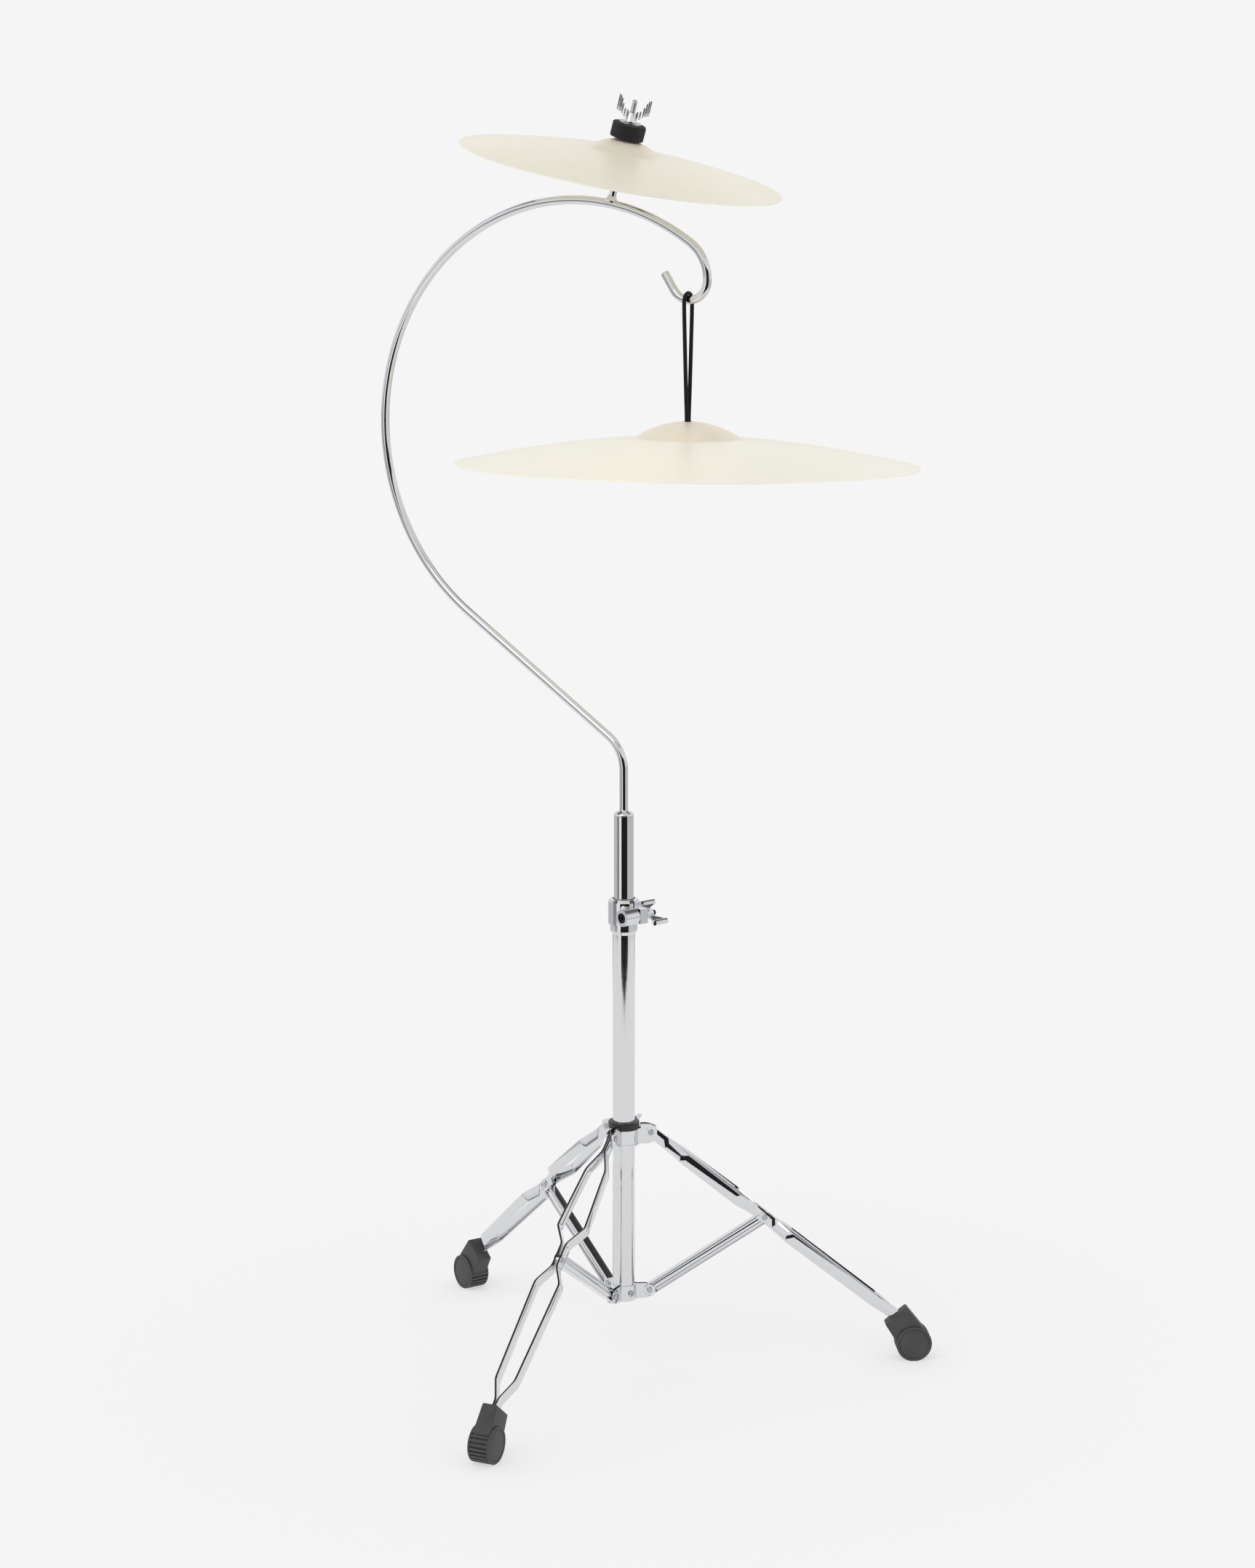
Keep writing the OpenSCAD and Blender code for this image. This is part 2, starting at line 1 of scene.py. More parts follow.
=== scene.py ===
# %% [markdown]
# # A cymbal stand with two cymbals
#
# The stand is drum hardware: chromed steel tubes on a folding tripod, with a long curved arm.
# A large cymbal hangs from the arm's hook on a loop of black cord, and a small cymbal sits on
# felts on top. The imported frame already holds every part at its true place. This file gives the
# parts their finished shapes and finishes.
#
# We start by loading the frame.

# %% Load the frame
import json
import math
import bpy
from mathutils import Matrix, Vector


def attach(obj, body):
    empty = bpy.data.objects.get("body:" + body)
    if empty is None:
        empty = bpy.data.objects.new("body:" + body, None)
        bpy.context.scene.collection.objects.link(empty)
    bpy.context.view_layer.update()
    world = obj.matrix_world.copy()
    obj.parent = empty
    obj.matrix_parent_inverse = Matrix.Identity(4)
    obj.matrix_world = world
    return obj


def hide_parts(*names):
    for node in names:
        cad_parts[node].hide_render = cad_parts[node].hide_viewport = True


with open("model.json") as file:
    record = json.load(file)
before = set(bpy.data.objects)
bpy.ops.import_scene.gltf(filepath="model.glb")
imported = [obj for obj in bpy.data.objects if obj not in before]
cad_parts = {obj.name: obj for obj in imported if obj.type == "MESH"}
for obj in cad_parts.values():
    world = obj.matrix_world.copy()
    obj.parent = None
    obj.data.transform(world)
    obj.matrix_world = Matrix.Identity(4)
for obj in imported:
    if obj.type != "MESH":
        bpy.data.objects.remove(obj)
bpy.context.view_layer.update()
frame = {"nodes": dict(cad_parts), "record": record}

nodes = frame["nodes"]
MM = 0.001

# %% [markdown]
# ## The camera
#
# A stand as tall as a person's chest is best seen from a little above, through a long lens, so
# that its uprights stay upright. An 85 mm lens about four metres away, tipped down by eleven
# degrees, does that.

# %% Camera
lens = bpy.data.cameras.new("long_lens")
lens.lens = 85
lens.sensor_width = 36
camera = bpy.data.objects.new("camera", lens)
camera.location = (4.18 * MM, -4068 * MM, 1483.75 * MM)
camera.rotation_euler = (math.radians(90 - 11.13), 0, 0)
bpy.context.scene.collection.objects.link(camera)
bpy.context.scene.camera = camera
print("camera at", [round(v, 3) for v in camera.location])

# %% [markdown]
# ## Small helpers
#
# Operators act on everything that is selected, so one helper selects a single piece. Another
# applies its place and its modifiers, because a finished piece sits at the origin with its place
# in its mesh.

# %% Helpers for selecting and finishing
def only(piece):
    if bpy.context.object and bpy.context.object.mode != "OBJECT":
        bpy.ops.object.mode_set(mode="OBJECT")
    bpy.ops.object.select_all(action="DESELECT")
    piece.select_set(True)
    bpy.context.view_layer.objects.active = piece


def finished(piece, place=Matrix(), angle=40):
    only(piece)
    for modifier in list(piece.modifiers):
        bpy.ops.object.modifier_apply(modifier=modifier.name)
    piece.matrix_world = place @ piece.matrix_world
    bpy.ops.object.transform_apply(location=True, rotation=True, scale=True)
    bpy.ops.object.mode_set(mode="EDIT")
    bpy.ops.mesh.select_all(action="SELECT")
    bpy.ops.mesh.normals_make_consistent(inside=False)
    bpy.ops.object.mode_set(mode="OBJECT")
    bpy.ops.object.shade_smooth_by_angle(angle=math.radians(angle))
    return piece


def rounded(piece, width, segments=3, angle=35):
    bevel = piece.modifiers.new("rounded", "BEVEL")
    bevel.width = width * MM
    bevel.segments = segments
    bevel.angle_limit = math.radians(angle)


def copy_of(piece, name, place, angle=40):
    twin = piece.copy()
    twin.data = piece.data.copy()
    twin.name = name
    bpy.context.scene.collection.objects.link(twin)
    return finished(twin, place, angle)


def joined(first, *others):
    only(first)
    for other in others:
        other.select_set(True)
    bpy.ops.object.join()
    return first


print("helpers ready")

# %% [markdown]
# ## Turned parts
#
# Tubes, washers, felts and cymbals are all round about one axis. Each starts as a circle, and the
# circle is extruded and resized ring by ring along the part's outline, as on a lathe.

# %% Turning an outline into a round part
def turned(name, outline, sides=64, closed=True):
    first = outline[0]
    bpy.ops.mesh.primitive_circle_add(
        vertices=sides, radius=first[0] * MM, fill_type="NOTHING", location=(0, 0, first[1] * MM)
    )
    piece = bpy.context.object
    piece.name = name
    bpy.ops.object.mode_set(mode="EDIT")
    r, z = first
    for next_r, next_z in outline[1:] + ([first] if closed else []):
        bpy.ops.mesh.extrude_region_move(
            TRANSFORM_OT_translate={"value": (0, 0, (next_z - z) * MM)}
        )
        bpy.ops.transform.resize(value=(next_r / r, next_r / r, 1))
        r, z = next_r, next_z
    bpy.ops.mesh.select_all(action="SELECT")
    bpy.ops.mesh.remove_doubles(threshold=0.00002)
    bpy.ops.object.mode_set(mode="OBJECT")
    return piece


print("turning ready")

# %% [markdown]
# ## The bent rod's plane
#
# The arm is bent in one upright plane, which is turned from the row's X axis. Distances in that
# plane are out towards the hook and up.

# %% Places on the bent rod
NECK_TURN = math.radians(-30)
neck_plane = Matrix.Rotation(NECK_TURN, 4, "Z")
HOOK_OUT, HOOK_Z = 80.5, 1224.6


def in_plane(out, up, across=0.0):
    return neck_plane @ Vector((out * MM, across * MM, up * MM))


print("hook at", [round(v, 4) for v in in_plane(HOOK_OUT, HOOK_Z)])

# %% [markdown]
# ## The loop of cord
#
# One length of black braided cord goes up from its knot inside the bell, over the hook and back
# down to the knot. It is a smooth curve through the loop's own points, drawn out by the cymbal's
# weight, so it has no slack.

# %% Cord
CORD = 4.4
half_loop = [
    (0, 7.4), (2.4, 7.1), (4.6, 6.1), (6.5, 4.5), (7.9, 2.4), (8.6, 0.3), (8.8, -2.2), (8.6, -12),
    (8.1, -24), (7.5, -36), (6.9, -48), (6.3, -60), (5.7, -72), (5, -84), (4.4, -96), (3.8, -106),
    (3.1, -116), (2.6, -124), (2.4, -130), (2.4, -134),
]
loop = [(-a, z) for a, z in reversed(half_loop)] + half_loop[1:]
loop_points = [in_plane(HOOK_OUT, HOOK_Z + z, a) for a, z in loop]
line = bpy.data.curves.new("cord", "CURVE")
line.dimensions = "3D"
line.bevel_depth = CORD / 2 * MM
line.bevel_resolution = 5
line.use_fill_caps = True
spline = line.splines.new("POLY")
spline.points.add(len(loop_points) - 1)
for point, place in zip(spline.points, loop_points):
    point.co = (*place, 1)
spline.use_smooth = True
cord = bpy.data.objects.new("cord", line)
bpy.context.scene.collection.objects.link(cord)
only(cord)
bpy.ops.object.convert(target="MESH")
cord = bpy.context.object
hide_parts("cord_loop")

# %% [markdown]
# The knot is a tight ball of the same cord under the bell. It is a turned ball with the cord's
# own turns pressed into it as rounded ridges.

# %% Knot
knot_outline = [(0.4, 0), (4.7, -0.1), (6.6, -1.5), (7.6, -3.4), (7.1, -4.5), (7.9, -6),
                (7.9, -7.4), (7, -8.6), (7, -9.8), (5.4, -11.4), (3, -12), (0.4, -12)]
knot = turned("cord_end_knot", knot_outline, 40, closed=False)
only(knot)
smooth = knot.modifiers.new("smooth", "SUBSURF")
smooth.levels = smooth.render_levels = 1
knot_place = Matrix.Translation(in_plane(HOOK_OUT, HOOK_Z - 134))
finished(knot, knot_place, 60)
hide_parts("cord_knot")
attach(knot, "knot")
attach(cord, "cord")
print("knot made")

# %% [markdown]
# ## Finishes
#
# Every finish is a node material. One small function adds a node with its settings and links, and
# another turns a colour written as on a paint card into the linear numbers that shaders use.

# %% Helpers for materials
def linear(code):
    parts = [int(code[i:i + 2], 16) / 255 for i in (1, 3, 5)]
    return (*[c / 12.92 if c <= 0.04045 else ((c + 0.055) / 1.055) ** 2.4 for c in parts], 1)


def add(tree, kind, inputs=None, **settings):
    made = tree.nodes.new(kind)
    for name, value in settings.items():
        setattr(made, name, value)
    for name, value in (inputs or {}).items():
        if isinstance(value, bpy.types.Node):
            value = value.outputs[0]
        if isinstance(value, bpy.types.NodeSocket):
            tree.links.new(value, made.inputs[name])
        else:
            made.inputs[name].default_value = value
    return made


def finish_named(name, **shader):
    material = bpy.data.materials.new(name)
    material.use_nodes = True
    tree = material.node_tree
    body = tree.nodes["Principled BSDF"]
    for key, value in shader.items():
        body.inputs[key].default_value = value
    return material, tree, body


print("material helpers ready")

# %% [markdown]
# **Chrome plate** is a thin, very bright, slightly blue-white metal over polished steel. It is
# almost a mirror. Handling leaves faint smears, so its roughness drifts a little from place to
# place, and the polishing under it leaves a very slight ripple.

# %% Chrome plate
chrome, tree, body = finish_named("chrome_plate", Metallic=1.0)
body.inputs["Base Color"].default_value = linear("#dcdddf")
where = add(tree, "ShaderNodeTexCoord").outputs["Object"]
smears = add(tree, "ShaderNodeTexNoise", {"Vector": where, "Scale": 38.0, "Detail": 4.0})
gloss = add(tree, "ShaderNodeMapRange", {"Value": smears.outputs["Fac"], "To Min": 0.03,
                                         "To Max": 0.1})
tree.links.new(gloss.outputs[0], body.inputs["Roughness"])
ripple = add(tree, "ShaderNodeTexNoise", {"Vector": where, "Scale": 120.0, "Detail": 1.0})
bump = add(tree, "ShaderNodeBump", {"Height": ripple.outputs["Fac"], "Strength": 0.03,
                                    "Distance": 0.0005})
tree.links.new(bump.outputs["Normal"], body.inputs["Normal"])
print("chrome made")

# %% [markdown]
# **Zinc-plated steel** is what the rivets, screws and washers are: greyer than chrome and softer
# in its shine, because it isn't polished.

# %% Zinc-plated steel
zinc, tree, body = finish_named("zinc_plate", Metallic=1.0)
body.inputs["Base Color"].default_value = linear("#b9bbbd")
where = add(tree, "ShaderNodeTexCoord").outputs["Object"]
grain = add(tree, "ShaderNodeTexNoise", {"Vector": where, "Scale": 900.0, "Detail": 3.0})
gloss = add(tree, "ShaderNodeMapRange", {"Value": grain.outputs["Fac"], "To Min": 0.2,
                                         "To Max": 0.42})
tree.links.new(gloss.outputs[0], body.inputs["Roughness"])
print("zinc made")

# %% [markdown]
# The clamp's bolt is **blackened steel**: a black oxide, oiled, with a dull shine.

# %% Blackened steel
blackened, tree, body = finish_named("black_oxide_steel", Metallic=1.0)
body.inputs["Base Color"].default_value = linear("#2b2b2d")
where = add(tree, "ShaderNodeTexCoord").outputs["Object"]
grain = add(tree, "ShaderNodeTexNoise", {"Vector": where, "Scale": 800.0, "Detail": 3.0})
gloss = add(tree, "ShaderNodeMapRange", {"Value": grain, "To Min": 0.3, "To Max": 0.5})
tree.links.new(gloss.outputs[0], body.inputs["Roughness"])
print("blackened steel made")

# %% [markdown]
# **Nylon** bushes and rings are moulded black and a little glossy where they rub.

# %% Black nylon
nylon, tree, body = finish_named("black_nylon", Roughness=0.38)
body.inputs["Base Color"].default_value = linear("#1c1c1d")
where = add(tree, "ShaderNodeTexCoord").outputs["Object"]
pits = add(tree, "ShaderNodeTexNoise", {"Vector": where, "Scale": 700.0, "Detail": 2.0})
bump = add(tree, "ShaderNodeBump", {"Height": pits.outputs["Fac"], "Strength": 0.25,
                                    "Distance": 0.0002})
tree.links.new(bump.outputs["Normal"], body.inputs["Normal"])
print("nylon made")

# %% [markdown]
# **Moulded rubber** is dark grey and matt. Its mould leaves a fine tooth, and dust lightens it in
# patches, so its colour and roughness both drift.

# %% Moulded rubber
rubber, tree, body = finish_named("moulded_rubber")
where = add(tree, "ShaderNodeTexCoord").outputs["Object"]
dust = add(tree, "ShaderNodeTexNoise", {"Vector": where, "Scale": 60.0, "Detail": 5.0})
shade = add(tree, "ShaderNodeMix", {"Factor": dust.outputs["Fac"]}, data_type="RGBA")
shade.inputs[6].default_value = linear("#2c2c2d")
shade.inputs[7].default_value = linear("#484849")
tree.links.new(shade.outputs[2], body.inputs["Base Color"])
gloss = add(tree, "ShaderNodeMapRange", {"Value": dust.outputs["Fac"], "To Min": 0.42,
                                         "To Max": 0.7})
tree.links.new(gloss.outputs[0], body.inputs["Roughness"])
tooth = add(tree, "ShaderNodeTexNoise", {"Vector": where, "Scale": 1400.0, "Detail": 2.0})
bump = add(tree, "ShaderNodeBump", {"Height": tooth.outputs["Fac"], "Strength": 0.5,
                                    "Distance": 0.0003})
tree.links.new(bump.outputs["Normal"], body.inputs["Normal"])
print("rubber made")

# %% [markdown]
# **Pressed wool felt** is charcoal with single lighter hairs in it. It has no gloss at all, and
# its surface is a mat of fibres, so a stretched fine noise makes the hairs and a coarser one makes
# the lumps of the mat.

# %% Pressed felt
felt, tree, body = finish_named("pressed_wool_felt", Roughness=1.0)
body.inputs["Sheen Weight"].default_value = 0.12
body.inputs["Specular IOR Level"].default_value = 0.1
where = add(tree, "ShaderNodeTexCoord").outputs["Object"]
turned_round = add(tree, "ShaderNodeMapping", {"Vector": where, "Scale": (1.0, 1.0, 2.2),
                                               "Rotation": (0.5, 0.4, 0.0)})
hairs = add(tree, "ShaderNodeTexNoise", {"Vector": turned_round.outputs["Vector"], "Scale": 950.0,
                                         "Detail": 6.0, "Roughness": 0.75, "Distortion": 1.6})
mat = add(tree, "ShaderNodeTexNoise", {"Vector": where, "Scale": 240.0, "Detail": 3.0})
sharper = add(tree, "ShaderNodeMapRange", {"Value": hairs.outputs["Fac"], "To Min": -0.5,
                                           "To Max": 1.5})
shade = add(tree, "ShaderNodeMix", {"Factor": sharper}, data_type="RGBA")
shade.inputs[6].default_value = linear("#141415")
shade.inputs[7].default_value = linear("#343332")
tree.links.new(shade.outputs[2], body.inputs["Base Color"])
lumps = add(tree, "ShaderNodeMath", {0: hairs.outputs["Fac"], 1: mat.outputs["Fac"]},
            operation="ADD")
bump = add(tree, "ShaderNodeBump", {"Height": lumps.outputs["Value"], "Strength": 0.9,
                                    "Distance": 0.0012})
tree.links.new(bump.outputs["Normal"], body.inputs["Normal"])
print("felt made")

# %% [markdown]
# **Braided cord** is black polyester. The braid's strands cross on the slant, about a millimetre
# apart, and each one stands a little proud.

# %% Braided cord
braid, tree, body = finish_named("black_braided_polyester", Roughness=0.7)
body.inputs["Sheen Weight"].default_value = 0.05
body.inputs["Specular IOR Level"].default_value = 0.25
where = add(tree, "ShaderNodeTexCoord").outputs["Object"]
left = add(tree, "ShaderNodeMapping", {"Vector": where, "Rotation": (0.6, 0.6, 0.3)})
right = add(tree, "ShaderNodeMapping", {"Vector": where, "Rotation": (-0.6, -0.6, 0.3)})
strands = [add(tree, "ShaderNodeTexWave", {"Vector": m.outputs["Vector"], "Scale": 300.0,
                                           "Distortion": 0.4}, bands_direction="Z")
           for m in (left, right)]
crossing = add(tree, "ShaderNodeMath", {0: strands[0].outputs["Fac"], 1: strands[1].outputs["Fac"]},
               operation="MAXIMUM")
shade = add(tree, "ShaderNodeMix", {"Factor": crossing.outputs["Value"]}, data_type="RGBA")
shade.inputs[6].default_value = linear("#030303")
shade.inputs[7].default_value = linear("#131314")
tree.links.new(shade.outputs[2], body.inputs["Base Color"])
bump = add(tree, "ShaderNodeBump", {"Height": crossing.outputs["Value"], "Strength": 0.7,
                                    "Distance": 0.0004})
tree.links.new(bump.outputs["Normal"], body.inputs["Normal"])
print("braid made")
cord.data.materials.append(braid)
knot.data.materials.append(braid)

# %% [markdown]
# ** Cymbal bronze** here is pale, a champagne ivory with a soft sheen. The bell is painted a darker
# tone as painted shade, standing in for the darker room that its sloped dome reflects. A cymbal is
# hammered and then turned on a lathe, which cuts fine rings round its middle. They are drawn as two
# sets, one about 5 mm apart and one about 1.7 mm apart. The rings need the cymbal's own axis, so a
# Mapping node carries the pattern to it.

# %% Cymbal bronze
def cymbal_bronze(name, centre, tilt, tone, bell_painted_shade, bell_radius):
    material, tree, body = finish_named(name, Metallic=0.3)
    where = add(tree, "ShaderNodeTexCoord").outputs["Object"]
    local = add(tree, "ShaderNodeMapping", {"Vector": where, "Location": centre, "Rotation": tilt},
                vector_type="TEXTURE").outputs["Vector"]
    parts = add(tree, "ShaderNodeSeparateXYZ", {"Vector": local})
    flat = add(tree, "ShaderNodeCombineXYZ", {"X": parts.outputs["X"], "Y": parts.outputs["Y"]})
    radius = add(tree, "ShaderNodeVectorMath", {0: flat.outputs["Vector"]}, operation="LENGTH")
    # The bell is painted a darker tone than the bow. This is painted shade for the darker room that its
    # sloped dome reflects.
    painted_bell_shade_mask = add(tree, "ShaderNodeMapRange", {"Value": radius.outputs["Value"],
                  "From Min": (bell_radius + 3) * MM, "From Max": (bell_radius - 3) * MM})
    drift = add(tree, "ShaderNodeTexNoise", {"Vector": local, "Scale": 14.0, "Detail": 3.0})
    shade = add(tree, "ShaderNodeMix", {"Factor": painted_bell_shade_mask.outputs["Result"]}, data_type="RGBA")
    shade.inputs[6].default_value = linear(tone)
    shade.inputs[7].default_value = linear(bell_painted_shade)
    tree.links.new(shade.outputs[2], body.inputs["Base Color"])
    rings = add(tree, "ShaderNodeTexWave", {"Vector": flat.outputs["Vector"], "Scale": 62.0,
                "Distortion": 0.6, "Detail": 2.0}, wave_type="RINGS", rings_direction="Z")
    fine = add(tree, "ShaderNodeTexWave", {"Vector": flat.outputs["Vector"], "Scale": 190.0,
               "Distortion": 0.3}, wave_type="RINGS", rings_direction="Z")
    cuts = add(tree, "ShaderNodeMath", {0: rings.outputs["Fac"], 1: fine.outputs["Fac"]},
               operation="ADD")
    gloss = add(tree, "ShaderNodeMapRange", {"Value": drift.outputs["Fac"], "To Min": 0.34,
                                             "To Max": 0.5})
    tree.links.new(gloss.outputs[0], body.inputs["Roughness"])
    bump = add(tree, "ShaderNodeBump", {"Height": cuts.outputs["Value"], "Strength": 0.35,
                                        "Distance": 0.0003})
    tree.links.new(bump.outputs["Normal"], body.inputs["Normal"])
    return material


print("bronze recipe ready")

# %% [markdown]
# ## The upright tubes
#
# The base tube and the height tube are plain drawn tubes. Each is turned from its outline: down
# the outside, across the end and back up the bore, with a small break on every edge.

# %% Tubes
def tube_outline(r, bore, z0, z1):
    return [(r - 0.3, z0), (r, z0 + 0.3), (r, z1 - 0.3), (r - 0.3, z1), (bore, z1), (bore, z0)]


base_tube = finished(turned("base_column", tube_outline(12.7, 11.5, 83, 533), 96))
upper_tube = finished(turned("height_column", tube_outline(11.1, 9.7, 251, 648), 96))
cap_outline = [(11.1, 648), (11, 649.2), (10.4, 650.4), (9.4, 651.3), (8.1, 651.9), (6.6, 652.4),
               (5.6, 653.1), (4.95, 654.4), (4.85, 651), (4.85, 640), (9.7, 640), (9.7, 648)]
tube_cap = finished(turned("height_column_cap", cap_outline, 64), angle=50)
for piece, node, home in ((base_tube, "base_tube", "base"), (upper_tube, "upper_tube", "upper"),
                          (tube_cap, "tube_plug", "upper")):
    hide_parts(node)
    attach(piece, home)
    piece.data.materials.append(chrome)
print("tubes made")

# %% [markdown]
# ## The bent rod
#
# The real rod is bent cold round a row of formers. The spin operator does just that: it sweeps
# the selected end round a centre. Between bends the end is extruded straight ahead. The rod is made
# flat in the XZ plane and turned into place last.

# %% Bent rod
ROD_R = 4.8
bends = [(0, 64, 0), (1, 45, 55.4), (0, 224, 0), (-1, 255.5, 179.4), (-1, 45.3, 56), (0, 1, 0),
         (-1, 22.3, 147), (0, 21, 0)]
bpy.ops.mesh.primitive_circle_add(vertices=32, radius=ROD_R * MM, fill_type="NOTHING",
                                  location=(0, 0, 635 * MM))
rod = bpy.context.object
rod.name = "bent_rod"
bpy.ops.object.transform_apply(location=True, rotation=True, scale=True)
bpy.ops.object.mode_set(mode="EDIT")
out, up, heading = 0.0, 635.0, 90.0
for turn, size, angle in bends:
    ahead = math.radians(heading)
    if turn == 0:
        step = Vector((math.cos(ahead), 0, math.sin(ahead))) * size * MM
        bpy.ops.mesh.extrude_region_move(TRANSFORM_OT_translate={"value": tuple(step)})
        out, up = out + math.cos(ahead) * size, up + math.sin(ahead) * size
    else:
        side = math.radians(heading + 90 * turn)
        centre = (out + size * math.cos(side), up + size * math.sin(side))
        bpy.ops.mesh.spin(steps=max(8, round(angle * size / 260)), angle=math.radians(angle),
                          center=(centre[0] * MM, 0, centre[1] * MM), axis=(0, turn, 0))
        heading += turn * angle
        back = math.radians(heading - 90 * turn)
        out, up = centre[0] + size * math.cos(back), centre[1] + size * math.sin(back)
ahead = math.radians(heading)
tip = Vector((math.cos(ahead), 0, math.sin(ahead)))
bpy.ops.mesh.extrude_region_move(TRANSFORM_OT_translate={"value": tuple(tip * 1.2 * MM)})
bpy.ops.transform.resize(value=(0.75, 0.75, 0.75))
bpy.ops.mesh.edge_face_add()
bpy.ops.mesh.select_all(action="SELECT")
bpy.ops.mesh.remove_doubles(threshold=0.00001)
bpy.ops.object.mode_set(mode="OBJECT")
finished(rod, neck_plane)
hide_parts("gooseneck")
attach(rod, "upper")
rod.data.materials.append(chrome)
print("rod ends", round(out, 1), "mm out and", round(up, 1), "mm up, heading", round(heading, 1))

# %% [markdown]
# ## The threaded post and its stack
#
# A short post is welded to the top of the arm. Above its shank it is threaded, and it carries a
# seat, a felt, the small cymbal, a second felt, a washer and a wing nut.

# %% The post's frame
POST_LEAN, ROCK = math.radians(15.8), math.radians(-4.4)
ARC_R, POST_AT = 255.5, math.radians(9.5)
arc_centre = (-58.7455, 1073.5495)
foot_out = arc_centre[0] + ARC_R * math.sin(POST_AT)
foot_up = arc_centre[1] + ARC_R * math.cos(POST_AT)
post_frame = (neck_plane @ Matrix.Translation((foot_out * MM, 0, foot_up * MM))
              @ Matrix.Rotation(POST_LEAN, 4, "Y"))
print("post stands at", [round(v, 4) for v in post_frame.translation])

# %% [markdown]
# The thread is a real profile: a row of shallow ridges, one for each millimetre of pitch, cut
# between the shank and the tip.

# %% Post with its thread
thread_start, thread_end, pitch = 37.0, 114.4, 1.0
ridges = []
for k in range(int((thread_end - thread_start) / pitch)):
    z = thread_start + k * pitch
    ridges += [(2.98, z), (2.98, z + 0.2), (2.6, z + 0.5), (2.6, z + 0.7)]
post_outline = ([(0.5, 4.2), (4.1, 4.2), (4.1, 35.5), (3.9, 36.2), (2.7, 36.5)] + ridges
                + [(2.95, thread_end), (2, 115.6), (0.5, 115.6)])
post = finished(turned("threaded_post", post_outline, 32), post_frame, 50)
weld_outline = [(7.2, 2), (6.6, 3.6), (6.8, 4.6), (5.9, 5.6), (5.8, 6.6), (4.9, 7.6), (4.5, 9.2),
                (4.15, 9.4), (4.15, 2)]
weld = finished(turned("post_weld_bead", weld_outline, 40), post_frame, 60)
for piece, node in ((post, "post"), (weld, "post_weld")):
    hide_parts(node)
    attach(piece, "upper")
    piece.data.materials.append(chrome)
print("post made")

# %% [markdown]
# Felts are cut from thick pressed wool. Their edges round over with use, and the lower one is
# crowned under the bell. Each is turned, subdivided and then given a real uneven surface, so that
# its outline isn't a perfect circle.

# %% Felts
def felt_pad(name, outline, node):
    pad = turned(name, outline, 64)
    finer = pad.modifiers.new("finer", "SUBSURF")
    finer.levels = finer.render_levels = 2
    lumps = bpy.data.textures.new(name + "_lumps", "CLOUDS")
    lumps.noise_scale = 0.0035
    push = pad.modifiers.new("lumpy", "DISPLACE")
    push.texture = lumps
    push.strength = 0.0009
    push.mid_level = 0.62
    finished(pad, post_frame, 70)
    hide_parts(node)
    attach(pad, "felts")
    pad.data.materials.append(felt)


felt_pad("lower_felt_pad", [
    (4.6, 60.3), (5.2, 60.2), (12, 60.2), (17, 60.3), (18.1, 61), (18.3, 62.5), (18.3, 64.5),
    (17.7, 66), (16, 67), (12, 68.3), (7, 69.5), (5, 69.7), (4.6, 69.6)], "lower_felt")
felt_pad("upper_felt_pad", [
    (4.6, 73.1), (5.2, 73), (12, 73), (17, 73.1), (18.1, 73.7), (18.3, 75), (18.3, 81),
    (18.3, 87.6), (18.1, 88.9), (17.2, 89.5), (12, 89.6), (5.2, 89.6), (4.6, 89.5)], "upper_felt")
print("felts made")

# %% [markdown]
# ## The cymbals
#
# A cymbal is one thin sheet: a domed bell in the middle and a long shallow bow out to the edge.
# Its outline follows a circle's arc over the bell, then the bow's gentle curve, and comes back
# along the underside one sheet's thickness lower.

# %% Cymbal outline
SHEET = 1.3


def cymbal_outline(radius, bell_r, bell_h, bow_h, hole):
    ball = (bell_r ** 2 + bell_h ** 2) / (2 * bell_h)

    def height(r):
        if r < bell_r:
            return math.sqrt(ball * ball - r * r) - ball
        return -bell_h - bow_h * ((r - bell_r) / (radius - bell_r)) ** 1.5

    stops = [hole + (bell_r - 1.2 - hole) * i / 9 for i in range(10)]
    stops += [bell_r + 1.6 + (radius - bell_r - 1.6) * i / 26 for i in range(27)]
    top = [(r, height(r)) for r in stops]
    edge = [(radius + 0.25, top[-1][1] - SHEET / 2)]
    return top + edge + [(r, z - SHEET) for r, z in reversed(top)]


print(len(cymbal_outline(177.8, 39.5, 14, 18.5, 6)), "points on a cymbal's outline")

# %% Cymbals
def cymbal(name, shape, place, node, home, tone, bell_painted_shade):
    piece = finished(turned(name, cymbal_outline(*shape), 160), place, 50)
    centre, turn, _ = place.decompose()
    bronze = cymbal_bronze(name + "_bronze", tuple(centre), tuple(turn.to_euler("XYZ")), tone,
                           bell_painted_shade, shape[1])
    piece.data.materials.append(bronze)
    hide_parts(node)
    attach(piece, home)


small_place = (post_frame @ Matrix.Translation((0, 0, 71.7 * MM)) @ Matrix.Rotation(ROCK, 4, "Y")
               @ Matrix.Translation((0, 0, SHEET / 2 * MM)))
large_place = (Matrix.Translation(in_plane(HOOK_OUT, HOOK_Z - 131.4))
               @ Matrix.Translation((0.3 * MM, 0.9 * MM, 0))
               @ Matrix.Rotation(math.radians(0.6), 4, "Y")
               @ Matrix.Rotation(math.radians(-2), 4, "X"))
# Each cymbal's second colour is its bell's painted shade.
cymbal("small_cymbal_disc", (177.4, 39.5, 14, 18.5, 6), small_place, "small_cymbal",
       "small_cymbal", "#f6f1e0", "#f0e7d4")
cymbal("large_cymbal_disc", (253.6, 59.5, 19, 28, 6), large_place, "large_cymbal",
       "large_cymbal", "#fbf8ea", "#f2e9d8")
print("cymbals made")

